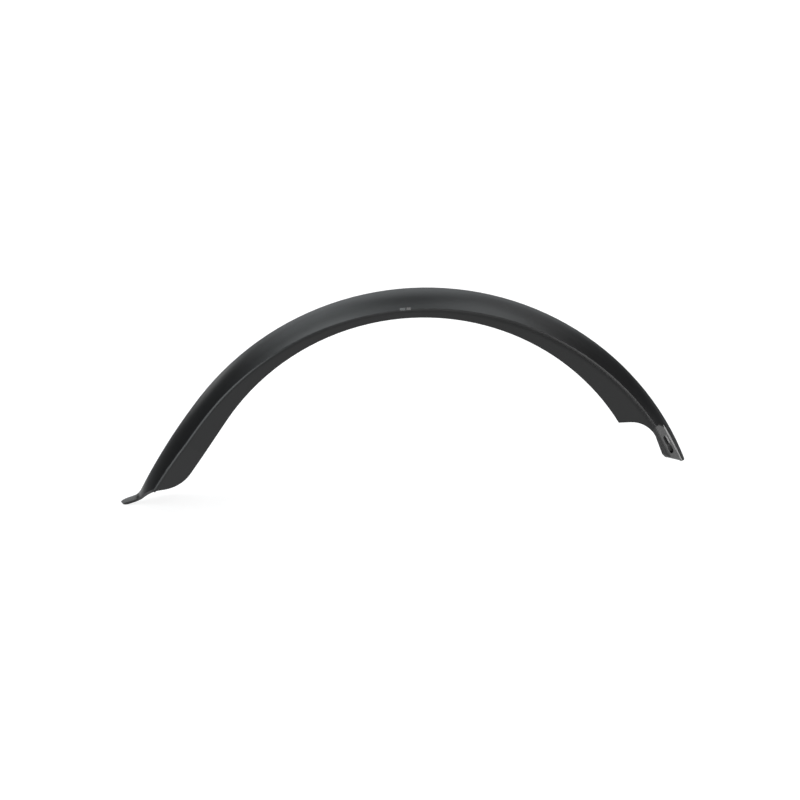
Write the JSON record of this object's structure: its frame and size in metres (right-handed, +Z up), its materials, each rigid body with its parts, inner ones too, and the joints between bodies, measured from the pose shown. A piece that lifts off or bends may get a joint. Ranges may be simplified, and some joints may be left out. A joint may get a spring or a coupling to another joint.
{
  "type": "bicycle mudguard",
  "caption": "Crowned black plastic mudguard for a bicycle wheel, with side skirts, sunk keyhole seats at the front end and a curled tongue at the rear end.",
  "frame": {"origin": "midway between the eyes of the two keyhole slots, level with the faces of the seats", "axes": "+X forwards in the wheel's plane, +Y along the axle to the far side, +Z up"},
  "size_m": [0.5308, 0.0706, 0.2042],
  "materials": {
    "black_plastic": "satin"
  },
  "bodies": {
    "root": {"mudguard": "black_plastic"}
  },
  "joints": []
}
